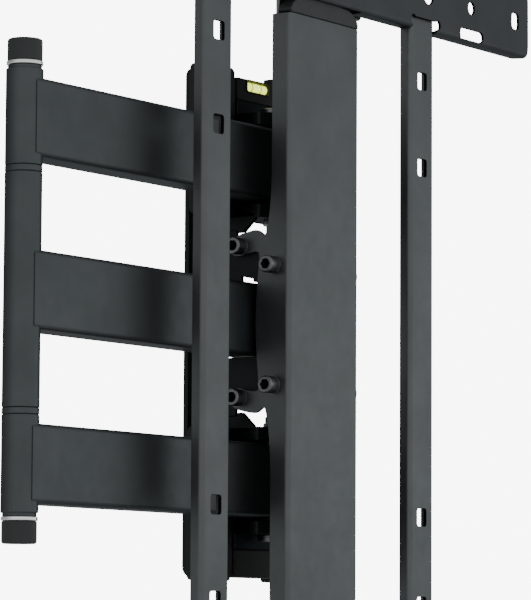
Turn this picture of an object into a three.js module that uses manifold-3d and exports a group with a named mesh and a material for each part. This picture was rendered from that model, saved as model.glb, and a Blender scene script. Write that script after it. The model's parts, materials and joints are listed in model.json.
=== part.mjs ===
// Full-motion wall mount for a flat screen, folded flat against the wall.
//
// Frame, in millimetres: +X runs to the right along the wall, +Y points into the wall and +Z is up,
// so the screen hangs towards -Y. Every dimension below is given about the middle of the wall plate's
// back face; the finished mount is lowered so that its origin is on the plate's upper cross-member.
//
// The wall plate carries two forked brackets. The rear link (top and bottom arm) turns in them about
// a vertical axis, and meets the front link (middle arm) in the elbow tube at the left. The front
// link's barrel carries the swivel head, and the screen frame tilts on the head: two screws in each
// ear of the column run in arc slots of the head's side plates.

import * as THREE from "three";
import { mergeVertices } from "three/addons/utils/BufferGeometryUtils.js";
import Module from "manifold-3d";

const wasm = await Module();
wasm.setup();

// ---------------------------------------------------------------- driving dimensions

const GAP = 0.3; // between pieces that touch
const ROUND = 20; // sides of a turned piece

// Levels and axes.
const PIVOT_Y = -25.7; // vertical axes of the wall pivot, elbow and swivel
const LINK_LENGTH = 220; // wall pivot to elbow, and elbow to swivel
const ARM_SPACING = 87; // top arm to middle arm to bottom arm
const TILT_Z = -1.5; // level of the tilt axis
const SCREEN_Z = -3.6; // level of the screen's centre
const ORIGIN_Z = 100; // level of the origin

// Wall unit.
const WALL_PLATE = { width: 96.4, height: 278, thickness: 3 };
const WALL_WINDOW = { width: 87, height: 121, corner: 4 };
const WALL_SLOT = { x: 33, z: 112, length: 26, width: 11 };
const COVER = { inner: 20.8, outer: 49.5, front: -15, wall: 2.2, low: 58, high: 141.5, edge: 3 };
const BRACKET = { halfWidth: 20, front: -34.8, web: -15, low: 49.6, heel: -8.8, relief: 61, top: 123.7 };
const LUG = { innerLow: 57.6, innerHigh: 65.4, outerLow: 108.6, outerHigh: 116 };
const PIVOT_PIN_RADIUS = 5;

// Level in the top of the wall unit.
const LEVEL = { halfWidth: 20.2, low: 124, high: 136.5, vialZ: 132.9, vialLength: 20, vialRadius: 2.6 };

// Links.
const ARM = { height: 40, depth: 20, wall: 2, corner: 2.6 };
const BARREL_RADIUS = 10;
const ELBOW = { radius: 9.5, bore: 5.4, middle: 59.1, seam: 62.7, end: 111.6, neck: 113.3 };
const ELBOW_RING = { radius: 9.3, low: 113.6, high: 115.5 };
const ELBOW_CAP = { radius: 8.9, low: 115.8, high: 127, chamfer: 1.1 };
const SHAFT_RADIUS = 5;

// Swivel head.
const HEAD_LUG = { low: 24, high: 28, radius: 11, halfWidth: 28.3 };
const HEAD_WEB = { front: -41.5, back: -38.5 };
const TILT_PLATE = { inner: 28.6, outer: 31.2, back: -15, waist: -37.4, heel: -23 };
// Rises of the tilt plate's corners from the tilt level.
const TILT_LEG = { step: 21.8, low: 22.3, notch: 25.3, toe: 23.5, under: 19.6, high: 47.4, heel: 51 };

// Screen frame.
const FRONT = -60; // front face of the column and the uprights
const COLUMN = { width: 68, depth: 12.1, sheet: 2, corner: 3, halfHeight: 170 };
const UPRIGHT = { x: 100, width: 25, depth: 7.4, sheet: 2.5, corner: 2.9, halfHeight: 192 };
const SCREEN_SLOT = { width: 9.6, height: 10, corner: 1.8, levels: [-150, -100, 100, 150] };
const CROSSBAR = { length: 430, height: 41.4, depth: 9, sheet: 2, corner: 3, front: -62.5, level: 200 };
const JOINT_BAR = { halfWidth: 31.5, front: -50.6, thickness: 2.2, low: 118, high: 216 };
const JOINT_HEAD = { halfWidth: 50, low: 178 };
const TILT_SCREW = { headRadius: 4.7, headLength: 7.6, shankRadius: 2.9, socket: 2.5, socketDepth: 3.6 };
const REAR_SCREW = { y: -27.7, rise: 41.3 }; // from the tilt level
const FRONT_SCREW = { y: -49.5, rise: 32.6, level: -4 };
const TILT_TRAVEL = 5; // degrees each way

// ---------------------------------------------------------------- materials

function paint(color, roughness, metalness) {
  return () => new THREE.MeshStandardMaterial({ color, roughness, metalness });
}

const powderCoat = paint(0x45494b, 0.5, 0.35);
const blackSteel = paint(0x3a3d3f, 0.4, 0.7);
const brightSteel = paint(0xb9bcbe, 0.3, 1);
const chrome = paint(0xe6e8ea, 0.12, 1);
const moulding = paint(0x2f3234, 0.6, 0);
const bearingPlastic = paint(0x3b3e40, 0.55, 0);
const vialLiquid = paint(0xd9f25a, 0.15, 0);

// ---------------------------------------------------------------- solids

// A closed mesh as a solid that can be joined and cut.
function solid(geometry) {
  const bare = geometry.clone();
  bare.deleteAttribute("normal");
  bare.deleteAttribute("uv");
  const merged = mergeVertices(bare, 1e-4);
  return new wasm.Manifold(
    new wasm.Mesh({
      numProp: 3,
      vertProperties: new Float32Array(merged.attributes.position.array),
      triVerts: new Uint32Array(merged.index.array),
    }),
  );
}

// The solid's surface as a geometry with flat shading.
function surface(body) {
  const mesh = body.getMesh();
  const geometry = new THREE.BufferGeometry();
  const stride = mesh.numProp;
  const count = mesh.vertProperties.length / stride;
  const positions = new Float32Array(count * 3);
  for (let i = 0; i < count; i++) {
    for (let axis = 0; axis < 3; axis++) {
      positions[i * 3 + axis] = mesh.vertProperties[i * stride + axis];
    }
  }
  geometry.setAttribute("position", new THREE.BufferAttribute(positions, 3));
  geometry.setIndex(new THREE.BufferAttribute(new Uint32Array(mesh.triVerts), 1));
  const flat = geometry.toNonIndexed();
  flat.computeVertexNormals();
  return flat;
}

// A box from its lowest to its highest corner.
function box(low, high) {
  const size = high.map((value, i) => value - low[i]);
  const centre = high.map((value, i) => (value + low[i]) / 2);
  return solid(new THREE.BoxGeometry(...size).translate(...centre));
}

// A turned piece about a vertical axis through (x, y). The profile holds [radius, z] pairs, upwards
// along the outside and back down along the bore or the axis.
function turned(profile, x, y, sides = ROUND) {
  const points = profile.map(([radius, z]) => new THREE.Vector2(radius, z));
  points.push(points[0].clone());
  const lathe = new THREE.LatheGeometry(points, sides).rotateX(Math.PI / 2);
  return solid(lathe.translate(x, y, 0));
}

function upright(radius, low, high, x, y, sides = ROUND) {
  const profile = [[0, low], [radius, low], [radius, high], [0, high]];
  return turned(profile, x, y, sides);
}

// A cylinder along X.
function crosswise(radius, from, to, y, z, sides = 12) {
  const pin = new THREE.CylinderGeometry(radius, radius, to - from, sides).rotateZ(Math.PI / 2);
  return solid(pin.translate((from + to) / 2, y, z));
}

function extruded(shape, length, curveSegments) {
  return new THREE.ExtrudeGeometry(shape, { depth: length, bevelEnabled: false, curveSegments });
}

// A shape drawn in (x, y), standing from z = low to z = high.
function standing(shape, low, high, curveSegments = 2) {
  return solid(extruded(shape, high - low, curveSegments).translate(0, 0, low));
}

// A shape drawn in (x, z), from y = front back to y = back.
function facing(shape, front, back, curveSegments = 2) {
  const geometry = extruded(shape, back - front, curveSegments);
  return solid(geometry.rotateX(Math.PI / 2).translate(0, back, 0));
}

// Turns a shape drawn in (x, y) and extruded along z so that it is drawn in (y, z) and runs along x.
const SIDEWAYS = new THREE.Matrix4().makeBasis(
  new THREE.Vector3(0, 1, 0),
  new THREE.Vector3(0, 0, 1),
  new THREE.Vector3(1, 0, 0),
);

// Lays an upright channel along X, with its front still towards -Y.
const LYING = new THREE.Matrix4().makeBasis(
  new THREE.Vector3(0, 0, -1),
  new THREE.Vector3(0, 1, 0),
  new THREE.Vector3(1, 0, 0),
);

// A shape drawn in (y, z), from x = left to x = right.
function sideways(shape, left, right, curveSegments = 2) {
  const geometry = extruded(shape, right - left, curveSegments);
  return solid(geometry.applyMatrix4(SIDEWAYS).translate(left, 0, 0));
}

// ---------------------------------------------------------------- outlines

function polygon(points) {
  return new THREE.Shape(points.map(([u, v]) => new THREE.Vector2(u, v)));
}

function roundedRectangle(left, low, right, high, radius) {
  const shape = new THREE.Shape();
  shape.absarc(right - radius, low + radius, radius, -Math.PI / 2, 0);
  shape.absarc(right - radius, high - radius, radius, 0, Math.PI / 2);
  shape.absarc(left + radius, high - radius, radius, Math.PI / 2, Math.PI);
  shape.absarc(left + radius, low + radius, radius, Math.PI, Math.PI * 1.5);
  shape.closePath();
  return shape;
}

function centredRectangle(u, v, width, height, radius) {
  return roundedRectangle(u - width / 2, v - height / 2, u + width / 2, v + height / 2, radius);
}

// A bent sheet: a front of the given width at v = 0 and two legs back to v = depth.
function channel(width, depth, sheet, radius) {
  const half = width / 2;
  const inner = radius - sheet;
  const shape = new THREE.Shape();
  shape.moveTo(-half, depth);
  shape.absarc(-half + radius, radius, radius, Math.PI, Math.PI * 1.5);
  shape.absarc(half - radius, radius, radius, -Math.PI / 2, 0);
  shape.lineTo(half, depth);
  shape.lineTo(half - sheet, depth);
  shape.absarc(half - radius, radius, inner, 0, -Math.PI / 2, true);
  shape.absarc(-half + radius, radius, inner, -Math.PI / 2, -Math.PI, true);
  shape.lineTo(-half + sheet, depth);
  shape.closePath();
  return shape;
}

// An arc slot about (u, v): its centre line's radius, and the angles of its two ends in degrees.
function arcSlot(u, v, radius, halfWidth, fromDegrees, toDegrees) {
  const from = THREE.MathUtils.degToRad(fromDegrees);
  const to = THREE.MathUtils.degToRad(toDegrees);
  const end = (angle) => [u + radius * Math.cos(angle), v + radius * Math.sin(angle)];
  const shape = new THREE.Shape();
  shape.absarc(u, v, radius + halfWidth, from, to);
  shape.absarc(...end(to), halfWidth, to, to + Math.PI);
  shape.absarc(u, v, radius - halfWidth, to, from, true);
  shape.absarc(...end(from), halfWidth, from + Math.PI, from + 2 * Math.PI);
  shape.closePath();
  return shape;
}

// ---------------------------------------------------------------- scene graph helpers

const mount = new THREE.Group();

function add(name, body, material) {
  const mesh = new THREE.Mesh(surface(body.translate([0, 0, -ORIGIN_Z])), material());
  mesh.name = name;
  mount.add(mesh);
}

function mirrorZ(body, level = 0) {
  return body.mirror([0, 0, 1]).translate([0, 0, 2 * level]);
}

function mirrorX(body) {
  return body.mirror([1, 0, 0]);
}

// ---------------------------------------------------------------- wall unit

function wallPlate() {
  const { width, height, thickness } = WALL_PLATE;
  let plate = facing(centredRectangle(0, 0, width, height, 5), -thickness, 0);
  const window = centredRectangle(0, 0, WALL_WINDOW.width, WALL_WINDOW.height, WALL_WINDOW.corner);
  plate = plate.subtract(facing(window, -thickness - 1, 1));
  for (const x of [-WALL_SLOT.x, WALL_SLOT.x]) {
    for (const z of [-WALL_SLOT.z, WALL_SLOT.z]) {
      const slot = centredRectangle(x, z, WALL_SLOT.width, WALL_SLOT.length, WALL_SLOT.width / 2 - 0.01);
      plate = plate.subtract(facing(slot, -thickness - 1, 1));
    }
  }
  return plate;
}

// The right cover of the upper half: a shell that is open towards the wall plate.
function upperCover() {
  const { inner, outer, front, wall, low, high, edge } = COVER;
  const back = -WALL_PLATE.thickness - GAP;
  const shell = facing(roundedRectangle(inner, low, outer, high, edge), front + 1.6, back);
  const face = facing(roundedRectangle(inner + 1.4, low + 1.4, outer - 1.4, high - 1.4, edge), front, back);
  const hollow = box([inner + wall, front + wall, low + wall], [outer - wall, back + 1, high - wall]);
  return shell.add(face).subtract(hollow);
}

// A tall prism that takes one front corner off the bracket's outer lug.
function lugChamfer(way) {
  const { front } = BRACKET;
  const across = [[21, front - 1], [21, front + 7], [13, front - 1]];
  const corner = across.map(([x, y]) => [way * x, y]);
  const shape = polygon(way > 0 ? corner : corner.reverse());
  return standing(shape, LUG.outerLow - 1, LUG.outerHigh + 1);
}

// The upper forked bracket: two lugs that hold the pivot pin, on a web bent from the wall plate.
function pivotBracket() {
  const { halfWidth, front, web, low, heel, relief, top } = BRACKET;
  const back = -WALL_PLATE.thickness - GAP;
  const side = polygon([
    [back, top],
    [web, top],
    [web, LUG.outerHigh],
    [front, LUG.outerHigh],
    [front, LUG.outerLow],
    [web, LUG.outerLow],
    [web, LUG.innerHigh],
    [front, LUG.innerHigh],
    [front, LUG.innerLow],
    [-27, LUG.innerLow],
    [-19.4, low],
    [heel, low],
    [heel, relief],
    [back, relief],
  ]);
  const between = box([-16.8, front - 1, low - 1], [16.8, -11, LUG.innerLow]);
  const behind = box([-16.8, -12, low - 1], [16.8, heel + 1, relief]);
  const hole = upright(PIVOT_PIN_RADIUS + GAP, LUG.innerLow - 1, LUG.outerHigh + 1, 0, PIVOT_Y);
  let bracket = sideways(side, -halfWidth, halfWidth).subtract(between).subtract(behind).subtract(hole);
  for (const way of [-1, 1]) {
    bracket = bracket.subtract(lugChamfer(way));
  }
  return bracket;
}

function pivotPin() {
  const low = LUG.innerLow - 3;
  const head = LUG.outerHigh + GAP;
  const r = PIVOT_PIN_RADIUS;
  const profile = [[0, low], [r - 1, low], [r, low + 1], [r, head], [7.6, head], [7.6, head + 2.6]];
  return turned([...profile, [6.6, head + 3.6], [0, head + 3.6]], 0, PIVOT_Y);
}

function levelHousing() {
  const { halfWidth, low, high, vialZ, vialLength, vialRadius } = LEVEL;
  const back = -WALL_PLATE.thickness - GAP;
  const body = facing(roundedRectangle(-halfWidth, low, halfWidth, high, 1.5), COVER.front, back);
  const reach = vialLength / 2 + GAP;
  const tall = vialRadius + GAP;
  const pocket = box([-reach, COVER.front - 1, vialZ - tall], [reach, COVER.front + 7, vialZ + tall]);
  return body.subtract(pocket);
}

function levelVial() {
  const reach = LEVEL.vialLength / 2;
  return crosswise(LEVEL.vialRadius, -reach, reach, COVER.front + 3.6, LEVEL.vialZ, 16);
}

function lowerCentreCover() {
  const shape = roundedRectangle(-LEVEL.halfWidth, -COVER.high + 1, LEVEL.halfWidth, -LEVEL.low, 1.5);
  return facing(shape, COVER.front, -WALL_PLATE.thickness - GAP);
}

function buildWallUnit() {
  add("wall_plate", wallPlate(), powderCoat);
  const right = upperCover();
  add("upper_right_cover", right, moulding);
  add("upper_left_cover", mirrorX(right), moulding);
  add("lower_right_cover", mirrorZ(right), moulding);
  add("lower_left_cover", mirrorZ(mirrorX(right)), moulding);
  const bracket = pivotBracket();
  add("top_pivot_bracket", bracket, powderCoat);
  add("bottom_pivot_bracket", mirrorZ(bracket), powderCoat);
  add("top_pivot_pin", pivotPin(), brightSteel);
  add("bottom_pivot_pin", mirrorZ(pivotPin()), brightSteel);
  add("level_housing", levelHousing(), moulding);
  add("level_vial", levelVial(), vialLiquid);
  add("lower_centre_cover", lowerCentreCover(), moulding);
}

// ---------------------------------------------------------------- links

// One arm at the middle level: a box-section tube cut out for the elbow tube and the barrel.
function arm() {
  const { height, depth, wall, corner } = ARM;
  const outer = centredRectangle(PIVOT_Y, 0, depth, height, corner);
  const inner = centredRectangle(PIVOT_Y, 0, depth - 2 * wall, height - 2 * wall, corner - wall + 0.5);
  outer.holes.push(inner);
  const tube = sideways(outer, -LINK_LENGTH - 2, -4, 1);
  const elbow = upright(ELBOW.radius + GAP, -height, height, -LINK_LENGTH, PIVOT_Y);
  const barrel = upright(BARREL_RADIUS + GAP, -height, height, 0, PIVOT_Y);
  return tube.subtract(elbow).subtract(barrel);
}

function barrel(level) {
  const low = level - ARM.height / 2;
  const high = level + ARM.height / 2;
  const bore = PIVOT_PIN_RADIUS + GAP;
  return turned([[bore, low], [BARREL_RADIUS, low], [BARREL_RADIUS, high], [bore, high]], 0, PIVOT_Y);
}

function elbowTube() {
  const { radius, bore, seam, end, neck } = ELBOW;
  const edge = 0.5;
  const profile = [[bore, seam], [radius - edge, seam], [radius, seam + edge], [radius, end - edge]];
  const top = [[radius - edge, end], [radius - 0.9, end], [radius - 0.9, neck], [bore, neck]];
  return turned([...profile, ...top], -LINK_LENGTH, PIVOT_Y);
}

function middleElbowTube() {
  const { radius, middle } = ELBOW;
  const bore = 6.6;
  const edge = 0.5;
  const outside = [[radius - edge, -middle], [radius, -middle + edge], [radius, middle - edge]];
  const profile = [[bore, -middle], ...outside, [radius - edge, middle], [bore, middle]];
  return turned(profile, -LINK_LENGTH, PIVOT_Y);
}

// A flanged bush: its flange is the spacer seen between two tube lengths.
function elbowBush() {
  const { radius, middle, seam } = ELBOW;
  const inner = 5.3;
  const sleeve = 6.3;
  const flange = [[radius, middle + GAP], [radius, seam - GAP], [inner, seam - GAP]];
  const profile = [[inner, middle - 14], [sleeve, middle - 14], [sleeve, middle + GAP], ...flange];
  return turned(profile, -LINK_LENGTH, PIVOT_Y);
}

function elbowShaft() {
  const half = ELBOW_CAP.high - 4;
  return upright(SHAFT_RADIUS, -half, half, -LINK_LENGTH, PIVOT_Y);
}

function elbowRing() {
  const { radius, low, high } = ELBOW_RING;
  const bore = SHAFT_RADIUS + GAP;
  return turned([[bore, low], [radius, low], [radius, high], [bore, high]], -LINK_LENGTH, PIVOT_Y);
}

function elbowCap() {
  const { radius, low, high, chamfer } = ELBOW_CAP;
  const bore = SHAFT_RADIUS + GAP;
  const outside = [[bore, low], [radius, low], [radius, high - chamfer], [radius - chamfer, high]];
  return turned([...outside, [0, high], [0, high - 3], [bore, high - 3]], -LINK_LENGTH, PIVOT_Y);
}

// The washer under a wall barrel.
function pivotWasher(level) {
  const high = level - ARM.height / 2 - GAP;
  const low = high - 1;
  const bore = PIVOT_PIN_RADIUS + GAP;
  return turned([[bore, low], [9.6, low], [9.6, high], [bore, high]], 0, PIVOT_Y);
}

function buildRearLink() {
  add("top_arm", arm().translate([0, 0, ARM_SPACING]), powderCoat);
  add("bottom_arm", arm().translate([0, 0, -ARM_SPACING]), powderCoat);
  add("top_wall_barrel", barrel(ARM_SPACING), powderCoat);
  add("bottom_wall_barrel", barrel(-ARM_SPACING), powderCoat);
  add("top_pivot_washer", pivotWasher(ARM_SPACING), bearingPlastic);
  add("bottom_pivot_washer", pivotWasher(-ARM_SPACING), bearingPlastic);
  add("elbow_tube_top", elbowTube(), powderCoat);
  add("elbow_tube_bottom", mirrorZ(elbowTube()), powderCoat);
  add("elbow_bush_upper", elbowBush(), bearingPlastic);
  add("elbow_bush_lower", mirrorZ(elbowBush()), bearingPlastic);
  add("elbow_shaft", elbowShaft(), brightSteel);
  add("elbow_ring_top", elbowRing(), chrome);
  add("elbow_ring_bottom", mirrorZ(elbowRing()), chrome);
  add("elbow_cap_top", elbowCap(), moulding);
  add("elbow_cap_bottom", mirrorZ(elbowCap()), moulding);
}

function buildFrontLink() {
  add("middle_arm", arm(), powderCoat);
  add("elbow_tube_middle", middleElbowTube(), powderCoat);
  add("swivel_barrel", barrel(0), powderCoat);
}

// ---------------------------------------------------------------- swivel head

function swivelBracket() {
  const { low, high, radius, halfWidth } = HEAD_LUG;
  const lug = new THREE.Shape();
  lug.moveTo(-halfWidth, HEAD_WEB.front);
  lug.lineTo(halfWidth, HEAD_WEB.front);
  lug.lineTo(halfWidth, PIVOT_Y - 4);
  lug.lineTo(radius, PIVOT_Y + 3);
  lug.absarc(0, PIVOT_Y, radius, 0.3, Math.PI - 0.3);
  lug.lineTo(-halfWidth, PIVOT_Y - 4);
  lug.closePath();
  const upper = standing(lug, low, high, 7);
  const web = box([-halfWidth, HEAD_WEB.front, -high], [halfWidth, HEAD_WEB.back, high]);
  const hole = upright(PIVOT_PIN_RADIUS + GAP, -high - 1, high + 1, 0, PIVOT_Y);
  return upper.add(mirrorZ(upper)).add(web).subtract(hole);
}

// The left side plate, open to the back around the middle arm, with an arc slot for each rear screw.
function tiltPlate() {
  const { inner, outer, back, waist, heel } = TILT_PLATE;
  const { step, low, notch, toe, under, high } = TILT_LEG;
  const front = HEAD_WEB.front;
  const lowerLeg = [
    [front, 8 - high],
    [front + 8, -high],
    [heel, -high],
    [heel + 0.6, -TILT_LEG.heel],
    [back, -TILT_LEG.heel],
    [back, -under],
    [waist, -under],
  ];
  const upperLeg = [
    [waist, step],
    [-34.4, step],
    [-34.4, toe],
    [-26.1, notch],
    [-26.6, low],
    [back, low],
    [back, TILT_LEG.heel],
    [heel + 0.6, TILT_LEG.heel],
    [heel, high],
    [front + 8, high],
    [front, high - 8],
  ];
  const side = polygon([...lowerLeg, ...upperLeg].map(([y, rise]) => [y, TILT_Z + rise]));
  let plate = sideways(side, -outer, -inner);
  const reach = Math.hypot(REAR_SCREW.y - PIVOT_Y, REAR_SCREW.rise);
  const lean = THREE.MathUtils.radToDeg(Math.atan2(REAR_SCREW.rise, REAR_SCREW.y - PIVOT_Y));
  const swing = TILT_TRAVEL + 0.6;
  const halfSlot = TILT_SCREW.shankRadius + 0.35;
  for (const middle of [lean, -lean]) {
    const slot = arcSlot(PIVOT_Y, TILT_Z, reach, halfSlot, middle - swing, middle + swing);
    plate = plate.subtract(sideways(slot, -outer - 1, -inner + 1, 3));
  }
  return plate;
}

function swivelBush() {
  const low = ARM.height / 2 + GAP;
  const high = HEAD_LUG.low - GAP;
  const bore = PIVOT_PIN_RADIUS + GAP;
  return turned([[bore, low], [8, low], [8, high], [bore, high]], 0, PIVOT_Y);
}

function swivelPin() {
  const r = PIVOT_PIN_RADIUS;
  const head = HEAD_LUG.high + GAP;
  const low = -head - 6;
  const profile = [[0, low], [r - 0.8, low], [r, low + 0.8], [r, head], [8, head], [8, head + 4]];
  return turned([...profile, [7.2, head + 4.8], [0, head + 4.8]], 0, PIVOT_Y);
}

function swivelNut() {
  const high = -HEAD_LUG.high - GAP;
  const low = high - 5;
  return upright(8.4, low, high, 0, PIVOT_Y, 6).subtract(
    upright(PIVOT_PIN_RADIUS + GAP, low - 1, high + 1, 0, PIVOT_Y),
  );
}

function buildSwivelHead() {
  add("swivel_bracket", swivelBracket(), powderCoat);
  add("tilt_plate_left", tiltPlate(), powderCoat);
  add("tilt_plate_right", mirrorX(tiltPlate()), powderCoat);
  add("swivel_bush_upper", swivelBush(), bearingPlastic);
  add("swivel_bush_lower", mirrorZ(swivelBush()), bearingPlastic);
  add("swivel_pin", swivelPin(), brightSteel);
  add("swivel_pin_nut", swivelNut(), brightSteel);
}

// ---------------------------------------------------------------- screen frame

// The left cheek of the column in (y, z): the deeper waist and the two ears for the rear screws.
function cheekOutline() {
  const upperHalf = [
    [11.7, 76], [13.2, 60], [14.7, 53], [16.3, 45.6], [18.4, 47.8], [20.6, 49.5], [23.5, 49.8],
    [28.9, 48.9], [34, 47.6], [37.6, 45.2], [38.8, 41.4], [37.8, 38], [35.2, 36.2], [28.2, 37.2],
    [22.6, 38], [20.2, 37], [20.4, 30], [21.4, 20], [22.2, 8],
  ];
  const place = ([depth, rise], way) => [FRONT + depth, TILT_Z + way * rise];
  const upper = upperHalf.map((point) => place(point, 1));
  const lower = upperHalf.map((point) => place(point, -1)).reverse();
  const start = FRONT + COLUMN.corner + 1;
  return polygon([[start, TILT_Z + 76], ...upper, ...lower, [start, TILT_Z - 76]].reverse());
}

function column() {
  const { width, depth, sheet, corner, halfHeight } = COLUMN;
  const half = width / 2;
  const profile = standing(channel(width, depth, sheet, corner), -halfHeight, halfHeight);
  const left = sideways(cheekOutline(), -half, -half + sheet);
  let body = profile.translate([0, FRONT, SCREEN_Z]).add(left).add(mirrorX(left));
  for (const way of [-1, 1]) {
    const rear = TILT_Z + way * REAR_SCREW.rise;
    const front = FRONT_SCREW.level + way * FRONT_SCREW.rise;
    const hole = TILT_SCREW.shankRadius + GAP;
    body = body.subtract(crosswise(hole, -half - 1, half + 1, REAR_SCREW.y, rear));
    body = body.subtract(crosswise(hole, -half - 1, half + 1, FRONT_SCREW.y, front));
  }
  return body;
}

// A plug with a low arch on top.
function columnCap() {
  const half = COLUMN.width / 2 - 0.8;
  const foot = COLUMN.halfHeight + GAP;
  const shape = new THREE.Shape();
  shape.moveTo(-half, foot);
  shape.lineTo(half, foot);
  shape.lineTo(half, foot + 2.2);
  shape.bezierCurveTo(half - 2, foot + 8.2, half - 14, foot + 10.2, 0, foot + 10.4);
  shape.bezierCurveTo(-half + 14, foot + 10.2, -half + 2, foot + 8.2, -half, foot + 2.2);
  shape.closePath();
  const arch = facing(shape, FRONT + 0.1, JOINT_BAR.front - GAP, 4);
  const inside = COLUMN.width / 2 - COLUMN.sheet - GAP - 1;
  const deep = FRONT + COLUMN.sheet + GAP;
  const plug = box([-inside, deep, foot - 8], [inside, JOINT_BAR.front - GAP, foot + 1]);
  return arch.add(plug);
}

function uprightRail() {
  const { width, depth, sheet, corner, halfHeight } = UPRIGHT;
  let rail = standing(channel(width, depth, sheet, corner), -halfHeight, halfHeight);
  for (const z of SCREEN_SLOT.levels) {
    const slot = centredRectangle(0, z, SCREEN_SLOT.width, SCREEN_SLOT.height, SCREEN_SLOT.corner);
    rail = rail.subtract(facing(slot, -1, sheet + 1));
  }
  return rail.translate([UPRIGHT.x, FRONT, 0]);
}

// The top crossbar, about the screen's centre. Each half has a slot and two round holes along its
// middle, a long slot at the lower bend, and notches where the upright passes behind the web.
function crossbar() {
  const { length, height, depth, sheet, corner, front, level } = CROSSBAR;
  const profile = extruded(channel(height, depth, sheet, corner), length, 2);
  let bar = solid(profile.applyMatrix4(LYING)).translate([-length / 2, front, level]);
  bar = bar.intersect(facing(centredRectangle(0, level, length, height, 5), front - 1, front + depth + 1));
  const behind = front + sheet + 0.2;
  const back = front + depth + 1;
  const bend = level - height / 2;
  const pierce = (x, z, width, tall, radius) => {
    bar = bar.subtract(facing(centredRectangle(x, z, width, tall, radius), front - 1, front + sheet + 1));
  };
  for (const way of [-1, 1]) {
    pierce(way * 200, level, 8.4, 10, 2.8);
    pierce(way * 150, level, 7.6, 7.6, 3.79);
    pierce(way * 103, level + 0.5, 11, 11, 5.49);
    pierce(way * 150.5, bend + 4.6, 26, 6.6, 3.2);
    const left = way * UPRIGHT.x - UPRIGHT.width / 2 - 0.6;
    const right = way * UPRIGHT.x + UPRIGHT.width / 2 + 0.6;
    bar = bar.subtract(box([left, front - 1, bend - 1], [right, back, bend + 6.8]));
    for (const x of [left, right]) {
      bar = bar.subtract(facing(centredRectangle(x, bend + 5, 5.6, 5.6, 2.79), front - 1, back, 1));
    }
  }
  const columnTop = COLUMN.width / 2;
  return bar.subtract(box([-columnTop, behind, bend - 1], [columnTop, back, bend + 5]));
}

// The flat T that carries the crossbar on the column, with the pad that it is welded to.
function jointBar() {
  const { halfWidth, front, thickness, low, high } = JOINT_BAR;
  const wide = JOINT_HEAD.halfWidth;
  const stem = box([-halfWidth, front, low], [halfWidth, front + thickness, high]);
  const head = box([-wide, front, JOINT_HEAD.low], [wide, front + thickness, high]);
  const pad = box([-24, CROSSBAR.front + CROSSBAR.sheet + GAP, 184], [24, front + 0.1, high]);
  return stem.add(head).add(pad);
}

// A socket-head cap screw through the left cheek, with its head outside.
function tiltScrew(y, z, length) {
  const outside = -COLUMN.width / 2 - GAP;
  const { headRadius, headLength, shankRadius, socket, socketDepth } = TILT_SCREW;
  const end = outside - headLength;
  const rim = crosswise(headRadius - 0.5, end, outside, y, z, 16);
  const head = crosswise(headRadius, end + 0.5, outside, y, z, 16).add(rim);
  const shank = crosswise(shankRadius, outside - 1, outside + length, y, z, 10);
  const hex = crosswise(socket, end - 1, end + socketDepth, y, z, 6);
  return head.add(shank).subtract(hex);
}

function tiltNut(z) {
  const outer = -TILT_PLATE.inner + GAP;
  const nut = crosswise(5.7, outer, outer + 4.2, REAR_SCREW.y, z, 6);
  return nut.subtract(crosswise(TILT_SCREW.shankRadius + GAP, outer - 1, outer + 6, REAR_SCREW.y, z, 10));
}

function tieRod(z) {
  const half = COLUMN.width / 2 - COLUMN.sheet - GAP;
  const { shankRadius } = TILT_SCREW;
  const rod = crosswise(4.6, -half, half, FRONT_SCREW.y, z, 12);
  const depth = 11;
  const left = crosswise(shankRadius + GAP, -half - 1, -half + depth, FRONT_SCREW.y, z, 10);
  return rod.subtract(left).subtract(mirrorX(left));
}

function buildScreenFrame() {
  add("column", column(), powderCoat);
  const cap = columnCap().translate([0, 0, SCREEN_Z]);
  add("column_cap_top", cap, moulding);
  add("column_cap_bottom", mirrorZ(cap, SCREEN_Z), moulding);
  const rail = uprightRail().translate([0, 0, SCREEN_Z]);
  add("right_upright", rail, powderCoat);
  add("left_upright", mirrorX(rail), powderCoat);
  const bar = crossbar().translate([0, 0, SCREEN_Z]);
  add("top_crossbar", bar, powderCoat);
  add("bottom_crossbar", mirrorZ(bar, SCREEN_Z), powderCoat);
  const joint = jointBar().translate([0, 0, SCREEN_Z]);
  add("top_joint_bar", joint, blackSteel);
  add("bottom_joint_bar", mirrorZ(joint, SCREEN_Z), blackSteel);
  for (const [place, way] of [["upper", 1], ["lower", -1]]) {
    const rearZ = TILT_Z + way * REAR_SCREW.rise;
    const frontZ = FRONT_SCREW.level + way * FRONT_SCREW.rise;
    const rear = tiltScrew(REAR_SCREW.y, rearZ, 11.2);
    const front = tiltScrew(FRONT_SCREW.y, frontZ, 12);
    add(`tilt_screw_${place}_left`, rear, blackSteel);
    add(`tilt_screw_${place}_right`, mirrorX(rear), blackSteel);
    add(`tie_screw_${place}_left`, front, blackSteel);
    add(`tie_screw_${place}_right`, mirrorX(front), blackSteel);
    add(`tilt_nut_${place}_left`, tiltNut(rearZ), brightSteel);
    add(`tilt_nut_${place}_right`, mirrorX(tiltNut(rearZ)), brightSteel);
    add(`tie_rod_${place}`, tieRod(frontZ), brightSteel);
  }
}

buildWallUnit();
buildRearLink();
buildFrontLink();
buildSwivelHead();
buildScreenFrame();

export default mount;
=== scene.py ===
"""A folding wall mount for a flat screen: painted sheet steel, box-section arms and a swivel head.

Shapes are drawn in millimetres about the middle of the wall plate, with +X to the right along the
wall, +Y into the wall and +Z up, and are moved into the row frame as each piece is finished.
"""

import json
import math

import bmesh
import bpy
from mathutils import Matrix, Vector, geometry, noise


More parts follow.
